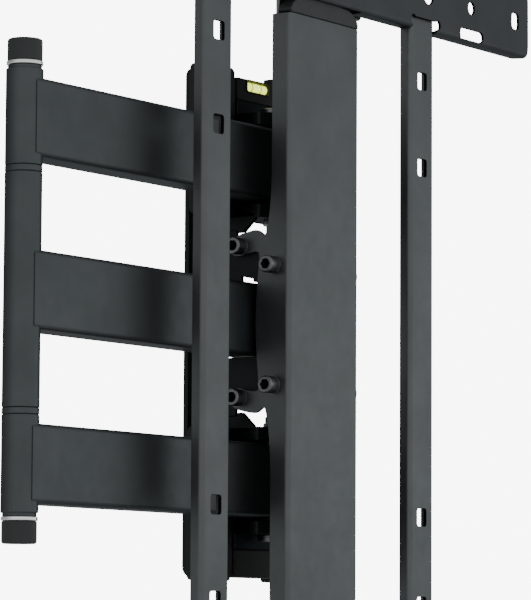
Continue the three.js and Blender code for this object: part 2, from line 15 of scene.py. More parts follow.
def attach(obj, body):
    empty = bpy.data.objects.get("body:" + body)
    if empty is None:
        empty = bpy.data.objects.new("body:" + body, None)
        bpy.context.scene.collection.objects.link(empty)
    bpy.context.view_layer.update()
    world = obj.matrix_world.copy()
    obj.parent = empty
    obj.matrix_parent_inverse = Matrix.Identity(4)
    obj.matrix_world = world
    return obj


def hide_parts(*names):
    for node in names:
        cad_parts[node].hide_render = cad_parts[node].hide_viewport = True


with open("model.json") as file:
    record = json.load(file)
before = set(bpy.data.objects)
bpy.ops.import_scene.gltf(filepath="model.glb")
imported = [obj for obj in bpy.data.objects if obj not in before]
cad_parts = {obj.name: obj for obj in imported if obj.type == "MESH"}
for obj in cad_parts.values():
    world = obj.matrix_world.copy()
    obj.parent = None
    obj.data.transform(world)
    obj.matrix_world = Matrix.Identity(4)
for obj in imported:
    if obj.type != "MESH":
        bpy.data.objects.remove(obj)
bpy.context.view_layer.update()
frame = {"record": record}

# ---------------------------------------------------------------- dimensions (mm)

ORIGIN_Z = 100  # the row's origin above the middle of the wall plate
COVER_BACK = -3.3  # back of the pieces in front of the wall plate
COVER_FRONT = -15
PIVOT_Y = -25.7
PIN_RADIUS = 5
BORE_RADIUS = 5.3  # of what turns on a pin or on the elbow shaft
ELBOW_X = -220
ELBOW_RADIUS = 9.5
ARM_SPACING = 87
ARM_HALF_HEIGHT = 20
ARM_HALF_DEPTH = 10
TILT_Z = -1.5
TILT_SCREW_Y, TILT_SCREW_RISE = -27.7, 41.3
TIE_SCREW_Y, TIE_SCREW_Z, TIE_SCREW_RISE = -49.5, -4, 32.6
SCREEN_Z = -3.6
FRONT = -60  # front face of column and uprights
UPRIGHT_X = 100
CROSSBAR_RISE = 200

TO_ROW = Matrix.Scale(0.001, 4) @ Matrix.Translation((0, 0, -ORIGIN_Z))


# ---------------------------------------------------------------- materials

def new_material(name, color, roughness, metallic=0.0):
    """A principled material and its node tree's shader."""
    material = bpy.data.materials.new(name)
    material.use_nodes = True
    shader = material.node_tree.nodes["Principled BSDF"]
    shader.inputs["Base Color"].default_value = (*color, 1)
    shader.inputs["Roughness"].default_value = roughness
    shader.inputs["Metallic"].default_value = metallic
    return material, shader


def add_noise(material, scale, detail=2.0, stretch=(1, 1, 1)):
    """A noise texture in metres, optionally stretched along the axes."""
    nodes, links = material.node_tree.nodes, material.node_tree.links
    place = nodes.new("ShaderNodeTexCoord")
    mapping = nodes.new("ShaderNodeMapping")
    mapping.inputs["Scale"].default_value = stretch
    texture = nodes.new("ShaderNodeTexNoise")
    texture.inputs["Scale"].default_value = scale
    texture.inputs["Detail"].default_value = detail
    links.new(place.outputs["Object"], mapping.inputs["Vector"])
    links.new(mapping.outputs["Vector"], texture.inputs["Vector"])
    return texture.outputs["Fac"]


def vary_color(material, shader, factor, dark, light):
    """Lets the colour wander between two tones."""
    nodes, links = material.node_tree.nodes, material.node_tree.links
    ramp = nodes.new("ShaderNodeValToRGB")
    ramp.color_ramp.elements[0].position = 0.3
    ramp.color_ramp.elements[0].color = (*dark, 1)
    ramp.color_ramp.elements[1].position = 0.7
    ramp.color_ramp.elements[1].color = (*light, 1)
    links.new(factor, ramp.inputs["Fac"])
    links.new(ramp.outputs["Color"], shader.inputs["Base Color"])


def vary_roughness(material, shader, factor, low, high):
    """Lets the gloss wander between two roughnesses."""
    nodes, links = material.node_tree.nodes, material.node_tree.links
    spread = nodes.new("ShaderNodeMapRange")
    spread.inputs["To Min"].default_value = low
    spread.inputs["To Max"].default_value = high
    links.new(factor, spread.inputs["Value"])
    links.new(spread.outputs["Result"], shader.inputs["Roughness"])


def bump(material, shader, factor, strength, distance):
    """A fine relief, with its height in metres."""
    nodes, links = material.node_tree.nodes, material.node_tree.links
    relief = nodes.new("ShaderNodeBump")
    relief.inputs["Strength"].default_value = strength
    relief.inputs["Distance"].default_value = distance
    links.new(factor, relief.inputs["Height"])
    links.new(relief.outputs["Normal"], shader.inputs["Normal"])


def shaded(color, gain):
    return tuple(min(1, c * gain) for c in color)


def powder_coat(name, color, roughness=0.42):
    """Dark satin powder coat with a metallic sheen, a fine orange peel and a slight unevenness of tone."""
    material, shader = new_material(name, color, roughness, 1.0)
    shader.inputs["Specular Tint"].default_value = (0.44, 0.46, 0.47, 1)
    vary_color(material, shader, add_noise(material, 30, 3), shaded(color, 0.93), shaded(color, 1.07))
    vary_roughness(material, shader, add_noise(material, 160, 2), roughness - 0.05, roughness + 0.06)
    bump(material, shader, add_noise(material, 1500, 3), 0.16, 0.00006)
    return material


def moulded_plastic(name, color, roughness=0.6):
    """Fine-grained moulded plastic."""
    material, shader = new_material(name, color, roughness)
    vary_color(material, shader, add_noise(material, 60, 2), shaded(color, 0.9), shaded(color, 1.1))
    bump(material, shader, add_noise(material, 2600, 2), 0.3, 0.00005)
    return material


def turned_metal(name, color, roughness, stretch):
    """Bare metal with the fine lines its making left in it."""
    material, shader = new_material(name, color, roughness, 1.0)
    lines = add_noise(material, 900, 2, stretch)
    vary_roughness(material, shader, lines, roughness - 0.07, roughness + 0.1)
    vary_color(material, shader, add_noise(material, 70, 2), shaded(color, 0.88), shaded(color, 1.08))
    bump(material, shader, lines, 0.12, 0.00004)
    return material


PAINT = powder_coat("powder_coat", (0.122, 0.132, 0.135))
PAINT_CROSSBAR = powder_coat("powder_coat_crossbar", (0.079, 0.086, 0.089), 0.46)
# a darker copy of the same coat: painted shade for the arms, barrels and elbow, which sit back behind the
# frame
PAINT_ARM_SHADED = powder_coat("powder_coat_arm_painted_shade", (0.088, 0.097, 0.100))
# a much darker copy of the same coat: painted shade for the wall plate, pivot brackets and swivel head, deep
# in the mount's shadow
PAINT_DEEP_SHADE = powder_coat("powder_coat_painted_deep_shade", (0.030, 0.034, 0.035), 0.5)
# a near-black copy of the coat: painted shade for the walls of holes, slots and screw sockets
HOLE_SHADE = powder_coat("painted_shade_in_holes", (0.010, 0.012, 0.012), 0.55)
PLASTIC = moulded_plastic("dark_moulding", (0.0045, 0.0055, 0.0075), 0.7)
CAP_PLASTIC = moulded_plastic("cap_moulding", (0.024, 0.028, 0.029), 0.62)
BEARING = moulded_plastic("bearing_plastic", (0.014, 0.017, 0.018), 0.5)
BLACK_STEEL = turned_metal("blackened_steel", (0.21, 0.22, 0.225), 0.34, (1, 1, 1))
ZINC = turned_metal("zinc_plated_steel", (0.52, 0.53, 0.55), 0.34, (1, 1, 0.05))
CHROME = turned_metal("polished_chrome", (0.86, 0.87, 0.88), 0.12, (1, 1, 0.05))
# the vial's liquid carries emission: painted glow, as the vial is no lamp
VIAL_GLOW, vial_shader = new_material("vial_liquid", (0.80, 0.98, 0.12), 0.12)
vial_shader.inputs["Coat Weight"].default_value = 0.6
vial_shader.inputs["Emission Color"].default_value = (0.88, 1.0, 0.10, 1)
vial_shader.inputs["Emission Strength"].default_value = 2.2
vary_color(VIAL_GLOW, vial_shader, add_noise(VIAL_GLOW, 90, 2), (0.74, 0.90, 0.16), (0.86, 1.0, 0.28))
# the bubble carries emission too: painted glow
BUBBLE_GLOW, bubble_shader = new_material("vial_bubble", (0.93, 1.0, 0.62), 0.3)
bubble_shader.inputs["Emission Color"].default_value = (0.90, 1.0, 0.30, 1)
bubble_shader.inputs["Emission Strength"].default_value = 1.8
vary_color(BUBBLE_GLOW, bubble_shader, add_noise(BUBBLE_GLOW, 200, 1), (0.88, 0.97, 0.5), (0.96, 1.0, 0.72))
MARK = moulded_plastic("vial_marks", (0.05, 0.07, 0.01), 0.5)


# ---------------------------------------------------------------- flat outlines

def outline(points, steps=5):
    """A closed outline. A point is (u, v) or (u, v, radius), which rounds its corner."""
    drawn = []
    for i, point in enumerate(points):
        here = Vector(point[:2])
        radius = point[2] if len(point) > 2 else 0
        if not radius:
            drawn.append(tuple(here))
            continue
        before = (Vector(points[i - 1][:2]) - here).normalized()
        after = (Vector(points[(i + 1) % len(points)][:2]) - here).normalized()
        half = before.angle(after) / 2
        reach = radius / math.tan(half)
        centre = here + (before + after).normalized() * radius / math.sin(half)
        start = here + before * reach - centre
        turn = start.angle_signed(here + after * reach - centre)
        for k in range(steps + 1):
            spoke = start.copy()
            spoke.rotate(Matrix.Rotation(-turn * k / steps, 2))
            drawn.append(tuple(centre + spoke))
    return drawn


def circle(u, v, radius, sides=40):
    turn = 2 * math.pi / sides
    return [(u + radius * math.cos(k * turn), v + radius * math.sin(k * turn)) for k in range(sides)]


def rectangle(left, low, right, high, radius=0.0, steps=5):
    corners = [(left, low), (right, low), (right, high), (left, high)]
    return outline([(u, v, radius) for u, v in corners], steps)


def slot(u, v, width, height, radius, steps=6):
    return rectangle(u - width / 2, v - height / 2, u + width / 2, v + height / 2, radius, steps)


def arc(u, v, radius, start, end, steps):
    """Points on an arc, with its angles in degrees."""
    angles = [math.radians(start + (end - start) * k / steps) for k in range(steps + 1)]
    return [(u + radius * math.cos(a), v + radius * math.sin(a)) for a in angles]


def arc_slot(u, v, radius, half_width, start, end, steps=8):
    """A round-ended slot along an arc, with its angles in degrees."""
    ends = [math.radians(start), math.radians(end)]
    first, last = [(u + radius * math.cos(a), v + radius * math.sin(a)) for a in ends]
    return (arc(u, v, radius + half_width, start, end, steps)
            + arc(*last, half_width, end, end + 180, steps)[1:-1]
            + arc(u, v, radius - half_width, end, start, steps)
            + arc(*first, half_width, start + 180, start + 360, steps)[1:-1])


def smoothed(points, rounds=2):
    """An open line with its corners cut off again and again."""
    for _ in range(rounds):
        cut = [points[0]]
        for (u0, v0), (u1, v1) in zip(points, points[1:]):
            cut.append((u0 * 0.75 + u1 * 0.25, v0 * 0.75 + v1 * 0.25))
            cut.append((u0 * 0.25 + u1 * 0.75, v0 * 0.25 + v1 * 0.75))
        points = cut + [points[-1]]
    return points


def signed_area(points):
    return sum(u0 * v1 - u1 * v0 for (u0, v0), (u1, v1) in zip(points, points[1:] + points[:1])) / 2


def without_repeats(points):
    return [p for i, p in enumerate(points) if math.dist(p, points[i - 1]) > 1e-4]


def moved_inwards(points, distance):
    """The outline moved to its left, which is into the material, by distance."""
    moved = []
    for i, (u, v) in enumerate(points):
        previous, following = points[i - 1], points[(i + 1) % len(points)]
        before = Vector((u - previous[0], v - previous[1])).normalized()
        after = Vector((following[0] - u, following[1] - v)).normalized()
        left = Vector((-before.y - after.y, before.x + after.x))
        scale = distance / max(0.4, 1 + before.dot(after))
        moved.append((u + left.x * scale, v + left.y * scale))
    return moved


# ---------------------------------------------------------------- solids

def plate(outer, holes=(), thickness=2.0, edge=0.3, steps=3):
    """A flat plate in (u, v) from w = 0 to its thickness, with every edge rounded."""
    loops = [without_repeats(list(outer))] + [without_repeats(list(hole)) for hole in holes]
    for i, points in enumerate(loops):
        if (signed_area(points) > 0) == (i > 0):
            points.reverse()
    levels = []
    for k in range(steps + 1):
        angle = math.pi / 2 * k / steps
        levels.append((edge * (1 - math.sin(angle)), edge * (1 - math.cos(angle))))
    levels += [(inset, thickness - depth) for inset, depth in reversed(levels)]
    bm = bmesh.new()
    rings = []
    for points in loops:
        rings.append([[bm.verts.new((u, v, depth)) for u, v in moved_inwards(points, inset)]
                      for inset, depth in levels])
    for stack in rings:
        for below, above in zip(stack, stack[1:]):
            for i in range(len(below)):
                bm.faces.new((below[i - 1], below[i], above[i], above[i - 1]))
    for end in (0, -1):
        corners = [[vert.co for vert in stack[end]] for stack in rings]
        verts = [vert for stack in rings for vert in stack[end]]
        for triangle in geometry.tessellate_polygon(corners):
            try:
                bm.faces.new([verts[i] for i in triangle])
            except ValueError:
                pass
    bmesh.ops.recalc_face_normals(bm, faces=bm.faces)
    return bm


def mapped(bm, change):
    """Every vertex put where change(u, v, w) says."""
    for vert in bm.verts:
        vert.co = change(*vert.co)
    bmesh.ops.recalc_face_normals(bm, faces=bm.faces)
    return bm


def prism(axis, outer, low, high, holes=(), edge=0.4, steps=3):
    """An outline pushed along an axis: (x, y) along z, (x, z) along y, or (y, z) along x."""
    bm = plate(outer, holes, high - low, edge, steps)
    change = {
        "z": lambda u, v, w: (u, v, low + w),
        "y": lambda u, v, w: (u, low + w, v),
        "x": lambda u, v, w: (low + w, u, v),
    }[axis]
    return mapped(bm, change)


def block(low, high, edge=0.6, corner=None, axis="y", steps=3):
    """A box with rounded edges. Its corners as seen along the axis are rounded by corner."""
    u, v, w = {"x": (1, 2, 0), "y": (0, 2, 1), "z": (0, 1, 2)}[axis]
    shape = rectangle(low[u], low[v], high[u], high[v], edge if corner is None else corner)
    return prism(axis, shape, low[w], high[w], edge=edge, steps=steps)


def folded(outer, holes, width, radius, thickness, edge=0.3, bends=7):
    """A bent sheet: u runs across the front, width wide, and round both bends into the legs.
    The result is x across, y backwards from the front face and z along."""
    flat = width / 2 - radius
    middle = radius - thickness / 2
    length = middle * math.pi / 2
    bm = plate(outer, holes, thickness, edge)
    for way in (-1, 1):
        for k in range(bends + 1):
            cut = way * (flat + length * k / bends)
            everything = bm.verts[:] + bm.edges[:] + bm.faces[:]
            bmesh.ops.bisect_plane(bm, geom=everything, dist=1e-4, plane_co=(cut, 0, 0), plane_no=(1, 0, 0))

    def bend(u, v, w):
        way = 1 if u > 0 else -1
        past = abs(u) - flat
        if past <= 0:
            return u, w, v
        if past < length:
            angle = past / middle
            return way * (flat + (radius - w) * math.sin(angle)), radius - (radius - w) * math.cos(angle), v
        return way * (width / 2 - w), radius + past - length, v

    return mapped(bm, bend)


def leg(width, radius, thickness, depth):
    """How far across the flat sheet a point of the leg lies that is depth behind the front."""
    return width / 2 - radius + (radius - thickness / 2) * math.pi / 2 + depth - radius


def turned(profile, centre, axis="z", sides=72, steps=4):
    """A turned piece: profile points are (radius, height along the axis[, fillet])."""
    points = without_repeats(outline(profile, steps))
    bm = bmesh.new()
    rings = []
    for radius, height in points:
        if radius < 1e-4:
            rings.append([bm.verts.new((0, 0, height))])
            continue
        ring = []
        for k in range(sides):
            angle = 2 * math.pi * k / sides
            ring.append(bm.verts.new((radius * math.cos(angle), radius * math.sin(angle), height)))
        rings.append(ring)
    for i, ring in enumerate(rings):
        last = rings[i - 1]
        for k in range(sides):
            corners = [last[k - 1 if len(last) > 1 else 0], last[k if len(last) > 1 else 0],
                       ring[k if len(ring) > 1 else 0], ring[k - 1 if len(ring) > 1 else 0]]
            corners = list(dict.fromkeys(corners))
            if len(corners) > 2:
                bm.faces.new(corners)
    return placed(bm, centre, axis)


def placed(bm, centre, axis="z"):
    """A solid about its own z axis, turned to lie along an axis and moved to a centre."""
    turn = {"z": Matrix.Identity(4), "x": Matrix.Rotation(math.pi / 2, 4, "Y")}
    bm.transform(Matrix.Translation(centre) @ turn[axis])
    bmesh.ops.recalc_face_normals(bm, faces=bm.faces)
    return bm


def weld(path, radius, sides=10):
    """A weld bead along a path, with the ripples of its making."""
    angles = [2 * math.pi * k / sides for k in range(sides)]
    bm = bmesh.new()
    rings = []
    for i, point in enumerate(path):
        here = Vector(point)
        along = (Vector(path[min(i + 1, len(path) - 1)]) - Vector(path[max(i - 1, 0)])).normalized()
        side = along.orthogonal().normalized()
        up = along.cross(side)
        ripple = 0.92 + 0.1 * math.sin(i * 2.1) + 0.12 * noise.noise(here * 0.6)
        taper = 0.35 if i in (0, len(path) - 1) else 1
        size = radius * ripple * taper
        rings.append([bm.verts.new(here + side * size * math.cos(a) + up * size * math.sin(a))
                      for a in angles])
    for below, above in zip(rings, rings[1:]):
        for k in range(sides):
            bm.faces.new((below[k - 1], below[k], above[k], above[k - 1]))
    bm.faces.new(rings[0])
    bm.faces.new(rings[-1])
    bmesh.ops.recalc_face_normals(bm, faces=bm.faces)
    return bm


def line(start, end, steps):
    return [tuple(Vector(start).lerp(Vector(end), k / steps)) for k in range(steps + 1)]


def joined(*solids):
    """Several solids as one mesh."""
    result = solids[0]
    for solid in solids[1:]:
        mesh = bpy.data.meshes.new("part")
        solid.to_mesh(mesh)
        solid.free()
        result.from_mesh(mesh)
        bpy.data.meshes.remove(mesh)
    return result


def mirrored(bm, axis, level=0.0):
    """A copy mirrored in the plane where axis is level."""
    copy = bm.copy()
    index = "xyz".index(axis)
    for vert in copy.verts:
        vert.co[index] = 2 * level - vert.co[index]
    bmesh.ops.reverse_faces(copy, faces=copy.faces)
    return copy


def moved(bm, x=0.0, y=0.0, z=0.0):
    bmesh.ops.translate(bm, verts=bm.verts, vec=(x, y, z))
    return bm


# ---------------------------------------------------------------- putting pieces on their bodies

BODY_OF = {node: body for body, nodes in frame["record"]["behaviour"]["bodies"].items() for node in nodes}


def show(bm, node, material, name=None, stands_for=True):
    """Puts a solid in the scene on its CAD node's body, in that node's place."""
    mesh = bpy.data.meshes.new(name or node + ".shape")
    bm.normal_update()
    bm.to_mesh(mesh)
    bm.free()
    mesh.transform(TO_ROW)
    mesh.shade_smooth()
    mesh.materials.append(material)
    piece = bpy.data.objects.new(name or node + ".shape", mesh)
    bpy.context.scene.collection.objects.link(piece)
    weighted = piece.modifiers.new("even_shading", "WEIGHTED_NORMAL")
    weighted.mode = "FACE_AREA"
    weighted.weight = 90
    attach(piece, BODY_OF[node])
    if stands_for:
        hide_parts(node)
    return piece


def show_both(bm, top, bottom, material, level=0.0):
    """A piece and its copy mirrored top to bottom."""
    return show(mirrored(bm, "z", level), bottom, material), show(bm, top, material)


def paint_shade_in_holes(pieces, inside):
    """Gives the faces in cut holes and sockets a near-black coat: painted shade for the shadow that falls
    inside these recesses.
    """
    for piece in pieces:
        piece.data.materials.append(HOLE_SHADE)
        for face in piece.data.polygons:
            x, y, z = TO_ROW.inverted() @ face.center
            if inside(x, y, z):
                face.material_index = 1


# ---------------------------------------------------------------- wall unit

def build_wall_unit():
    holes = [rectangle(-43.5, -60.5, 43.5, 60.5, 4)]
    holes += [slot(x, z, 11, 26, 5.49) for x in (-33, 33) for z in (-112, 112)]
    show(prism("y", rectangle(-48.2, -139, 48.2, 139, 5), -3, 0, holes, 0.4), "wall_plate", PAINT_DEEP_SHADE)

    corners = outline([(20.8, 58, 1.4), (49.5, 58, 3.4), (49.5, 141.5, 3.4), (20.8, 141.5, 1.4)])
    base = prism("y", corners, -13.2, COVER_BACK, edge=1.2)
    face = block((22, COVER_FRONT, 59.2), (48.3, -12, 140.3), 1.1, 2.4)
    cover = joined(base, face)
    show(mirrored(cover, "x"), "upper_left_cover", PLASTIC)
    show(mirrored(mirrored(cover, "x"), "z"), "lower_left_cover", PLASTIC)
    show(mirrored(cover, "z"), "lower_right_cover", PLASTIC)
    show(cover, "upper_right_cover", PLASTIC)

    back = outline([(COVER_FRONT, 57.6), (-11, 57.6), (-11, 61), (COVER_BACK, 61), (COVER_BACK, 123.7),
                    (COVER_FRONT, 123.7)])
    half = 20
    web = prism("x", back, -half, half, edge=0.6)
    nose = outline([(-half, -13), (-half, -29.6, 2), (-12.6, -34.8, 3), (12.6, -34.8, 3), (half, -29.6, 2),
                    (half, -13)])
    pin_hole = [circle(0, PIVOT_Y, BORE_RADIUS)]
    outer_lug = prism("z", nose, 108.6, 116, pin_hole, 0.7)
    inner_lug = prism("z", nose, 57.6, 65.4, pin_hole, 0.7)
    side = outline([(-8.8, 49.6, 0.6), (-19.4, 49.6, 1.2), (-27, 57, 1.5), (-27, 60), (-14, 62), (-8.8, 62)])
    gusset = prism("x", side, half - 3.2, half, edge=0.6)
    seams = [weld(line((-19, -15.2, z), (19, -15.2, z), 40), 1.0) for z in (65.9, 108.1)]
    bracket = joined(web, outer_lug, inner_lug, mirrored(gusset, "x"), gusset, *seams)
    show_both(bracket, "top_pivot_bracket", "bottom_pivot_bracket", PAINT_DEEP_SHADE)

    pin = [(0, 54.6), (PIN_RADIUS, 54.6, 1), (PIN_RADIUS, 116.3), (7.6, 116.3, 0.4), (7.6, 119.9, 1.2),
           (2.4, 119.9, 0.2), (2.0, 118.6), (0, 118.6)]
    show_both(turned(pin, (0, PIVOT_Y, 0)), "top_pivot_pin", "bottom_pivot_pin", BLACK_STEEL)

    pocket = [rectangle(-10.6, 129.9, 10.6, 135.9, 1)]
    front = prism("y", rectangle(-20.2, 124, 20.2, 136.5, 1.6), COVER_FRONT, -9, pocket, 0.6)
    back = block((-20.2, -9.3, 124), (20.2, COVER_BACK, 136.5), 0.4, 1.6)
    lip = prism("y", rectangle(-11.6, 128.9, 11.6, 136.4, 1.4), -15.4, -14, pocket, 0.3)
    show(joined(front, back, lip), "level_housing", PLASTIC)
    vial_y, vial_z = -11.6, 132.9
    tube = [(0, -10), (2.6, -10, 0.5), (2.6, 10, 0.5), (0, 10)]
    show(turned(tube, (0, vial_y, vial_z), "x"), "level_vial", VIAL_GLOW)
    bubble = bmesh.new()
    bmesh.ops.create_uvsphere(bubble, u_segments=24, v_segments=14, radius=1)
    mapped(bubble, lambda x, y, z: (x * 3.2, -12.9 + y * 1.6, 133.5 + z * 1.3))
    show(bubble, "level_vial", BUBBLE_GLOW, "vial_bubble", False)
    ring = [(2.5, -0.25), (2.72, -0.25), (2.72, 0.25), (2.5, 0.25)]
    for x, name in ((-4.2, "vial_mark_left"), (4.2, "vial_mark_right")):
        show(turned(ring, (x, vial_y, vial_z), "x"), "level_vial", MARK, name, False)
    lower = block((-20.2, COVER_FRONT, -139.5), (20.2, COVER_BACK, -124), 1.0, 1.6)
    show(lower, "lower_centre_cover", PLASTIC)


# ---------------------------------------------------------------- links

def arm_solid():
    """A box-section arm at the middle level, with its welds to the elbow tube."""
    depth, height, sheet = ARM_HALF_DEPTH, ARM_HALF_HEIGHT, 2
    section = rectangle(PIVOT_Y - depth, -height, PIVOT_Y + depth, height, 2.6)
    depth, height = depth - sheet, height - sheet
    inside = [rectangle(PIVOT_Y - depth, -height, PIVOT_Y + depth, height, 1.2)]
    end = ELBOW_X - 2
    tube = prism("x", section, end, 0, inside, 0.35)
    beads = [weld(line((end, y, -height), (end, y, height), 30), 0.5) for y in (PIVOT_Y - 8.6, PIVOT_Y + 8.6)]
    return joined(tube, *beads)


def barrel_solid(level):
    low, high = level - ARM_HALF_HEIGHT, level + ARM_HALF_HEIGHT
    outer = ARM_HALF_DEPTH
    profile = [(BORE_RADIUS, low), (outer, low, 0.6), (outer, high, 0.6), (BORE_RADIUS, high)]
    return turned(profile, (0, PIVOT_Y, 0))


def build_links():
    for level, arm, barrel in ((ARM_SPACING, "top_arm", "top_wall_barrel"),
                               (0, "middle_arm", "swivel_barrel"),
                               (-ARM_SPACING, "bottom_arm", "bottom_wall_barrel")):
        show(moved(arm_solid(), z=level), arm, PAINT_ARM_SHADED)
        show(barrel_solid(level), barrel, PAINT_ARM_SHADED)
    for level, washer in ((ARM_SPACING, "top_pivot_washer"), (-ARM_SPACING, "bottom_pivot_washer")):
        low, high = level - 21.3, level - 20.3
        profile = [(BORE_RADIUS, low), (9.6, low, 0.2), (9.6, high, 0.2), (BORE_RADIUS, high)]
        show(turned(profile, (0, PIVOT_Y, 0)), washer, BEARING)

    centre = (ELBOW_X, PIVOT_Y, 0)
    outer = ELBOW_RADIUS
    tube = [(5.4, 62.7), (outer, 62.7, 0.45), (outer, 111.6, 0.5), (8.6, 111.6), (8.6, 113.3, 0.2),
            (5.4, 113.3)]
    show_both(turned(tube, centre), "elbow_tube_top", "elbow_tube_bottom", PAINT_ARM_SHADED)
    middle = [(6.6, -59.1), (outer, -59.1, 0.45), (outer, 59.1, 0.45), (6.6, 59.1)]
    show(turned(middle, centre), "elbow_tube_middle", PAINT_ARM_SHADED)
    bush = [(BORE_RADIUS, 45.1), (6.3, 45.1, 0.3), (6.3, 59.2), (9.1, 59.2, 0.1), (9.1, 59.4),
            (9.45, 59.4, 0.3), (9.45, 62.4, 0.3), (9.1, 62.4), (9.1, 62.6, 0.1), (BORE_RADIUS, 62.6)]
    show_both(turned(bush, centre), "elbow_bush_upper", "elbow_bush_lower", PAINT_ARM_SHADED)
    shaft = [(0, -123), (PIN_RADIUS, -123, 0.5), (PIN_RADIUS, 123, 0.5), (0, 123)]
    show(turned(shaft, centre), "elbow_shaft", ZINC)
    ring = [(BORE_RADIUS, 113.4), (8.6, 113.4), (8.6, 113.55), (9.3, 113.55, 0.4), (9.3, 115.5, 0.4),
            (8.4, 115.5), (8.4, 115.7), (BORE_RADIUS, 115.7)]
    show_both(turned(ring, centre), "elbow_ring_top", "elbow_ring_bottom", CHROME)
    cap = [(BORE_RADIUS, 115.8), (8.9, 115.8, 0.3), (8.9, 127, 1.3), (0, 127), (0, 124), (BORE_RADIUS, 124)]
    show_both(turned(cap, centre), "elbow_cap_top", "elbow_cap_bottom", CAP_PLASTIC)


# ---------------------------------------------------------------- swivel head

def build_swivel_head():
    half, front, rear = 28.3, -41.5, -15
    nose = [(-half, front), (half, front), (half, -29.7, 3), (12.6, -24.4, 4)]
    nose += arc(0, PIVOT_Y, 11, 17, 163, 24)
    nose += [(-12.6, -24.4, 4), (-half, -29.7, 3)]
    lug = prism("z", outline(nose), 24, 28, [circle(0, PIVOT_Y, BORE_RADIUS)], 0.5)
    web = block((-half, front, -28), (half, -38.5, 28), 0.5, 2)
    beads = [weld(line((-26, -38.4, z), (26, -38.4, z), 50), 0.9) for z in (-23.6, 23.6)]
    show(joined(web, mirrored(lug, "z"), lug, *beads), "swivel_bracket", PAINT_DEEP_SHADE)

    z = TILT_Z
    side = outline([
        (front, z - 39.4, 3), (-33.5, z - 47.4, 3), (-23, z - 47.4, 0.6), (-22.4, z - 51, 1),
        (rear, z - 51, 2), (rear, z - 18.85, 0.3), (-37.4, z - 18.85, 2), (-37.4, z + 21.8, 1),
        (-34.4, z + 21.8, 0.3), (-34.4, z + 23.5), (-26.1, z + 25.3, 0.6), (-26.6, z + 22.3, 0.5),
        (rear, z + 22.3, 1.5), (rear, z + 51, 2), (-22.4, z + 51, 1), (-23, z + 47.4, 0.6),
        (-33.5, z + 47.4, 3), (front, z + 39.4, 3)])
    reach = math.hypot(TILT_SCREW_Y - PIVOT_Y, TILT_SCREW_RISE)
    lean = math.degrees(math.atan2(TILT_SCREW_RISE, TILT_SCREW_Y - PIVOT_Y))
    travel = 5.6  # degrees each way
    slots = [arc_slot(PIVOT_Y, z, reach, 3.25, m - travel, m + travel) for m in (lean, -lean)]
    cheek = prism("x", side, 28.6, 31.2, slots, 0.5)
    show(mirrored(cheek, "x"), "tilt_plate_left", PAINT_DEEP_SHADE)
    show(cheek, "tilt_plate_right", PAINT_DEEP_SHADE)

    bush = [(BORE_RADIUS, 20.3), (8, 20.3, 0.3), (8, 23.7, 0.3), (BORE_RADIUS, 23.7)]
    show_both(turned(bush, (0, PIVOT_Y, 0)), "swivel_bush_upper", "swivel_bush_lower", BEARING)
    pin = [(0, -34.3), (PIN_RADIUS, -34.3, 0.8), (PIN_RADIUS, 28.3), (8, 28.3, 0.5), (8, 33.1, 1),
           (3, 33.1, 0.3), (2.5, 31.6), (0, 31.6)]
    show(turned(pin, (0, PIVOT_Y, 0)), "swivel_pin", BLACK_STEEL)
    hexagon = circle(0, PIVOT_Y, 8.2, 6)
    nut = prism("z", hexagon, -33.3, -28.3, [circle(0, PIVOT_Y, BORE_RADIUS)], 0.5)
    show(nut, "swivel_pin_nut", ZINC)


# ---------------------------------------------------------------- screen frame

# The rear edge of a cheek of the column, from above its ear to the middle: depth behind the front, rise.
EAR = [(12.1, 84), (12.2, 76), (13.0, 62), (14.7, 52), (16.0, 46.4), (18.2, 48.0), (20.6, 49.7),
       (23.5, 50.0), (28.9, 49.0), (34.5, 47.6), (38.4, 45.4), (39.6, 41.2), (38.2, 37.2), (35.2, 36.0),
       (28.2, 37.2), (21.4, 38.2), (19.9, 36.6), (20.4, 30), (21.4, 20), (22.2, 8), (22.3, 0)]


def build_column():
    width, radius, sheet, half_length = 68, 3, 2, 170

    def across(depth):
        return leg(width, radius, sheet, depth)

    edge = across(EAR[0][0])
    half = smoothed([(across(d), TILT_Z + rise) for d, rise in EAR])
    lower = [(u, 2 * TILT_Z - v) for u, v in half]
    right = [(edge, SCREEN_Z - half_length)] + lower + half[::-1][1:] + [(edge, SCREEN_Z + half_length)]
    left = [(-u, v) for u, v in reversed(right)]
    holes = []
    for way in (-1, 1):
        for side in (-1, 1):
            tilt, tie = across(TILT_SCREW_Y - FRONT), across(TIE_SCREW_Y - FRONT)
            holes.append(circle(side * tilt, TILT_Z + way * TILT_SCREW_RISE, 3.1, 24))
            holes.append(circle(side * tie, TIE_SCREW_Z + way * TIE_SCREW_RISE, 3.1, 24))
    bm = folded(right + left, holes, width, radius, sheet, 0.35)
    show(moved(bm, y=FRONT), "column", PAINT)

    curve = [(33, 172.6), (31.6, 175.2), (28.6, 177.6), (24.0, 179.2), (16, 180.3), (8, 180.8), (0, 180.9)]
    curve = smoothed(curve)
    shape = [(-33, 170.3), (33, 170.3)] + curve + [(-u, v) for u, v in reversed(curve[:-1])]
    arch = prism("y", shape, FRONT + 0.1, -50.9, edge=0.7)
    plug = block((-30.7, -57.7, 162.3), (30.7, -50.9, 171), 0.4)
    cap = moved(joined(arch, plug), z=SCREEN_Z)
    show_both(cap, "column_cap_top", "column_cap_bottom", CAP_PLASTIC, SCREEN_Z)

    tee = outline([(-31.5, 118, 4), (31.5, 118, 4), (31.5, 178), (50, 178, 3), (50, 216, 3), (-50, 216, 3),
                   (-50, 178, 3), (-31.5, 178)])
    bar = prism("y", tee, -50.6, -48.4, edge=0.4)
    pad = block((-24, -60.2, 184), (24, -50.5, 216), 0.5, 1)
    joint = moved(joined(bar, pad), z=SCREEN_Z)
    show_both(joint, "top_joint_bar", "bottom_joint_bar", BLACK_STEEL, SCREEN_Z)


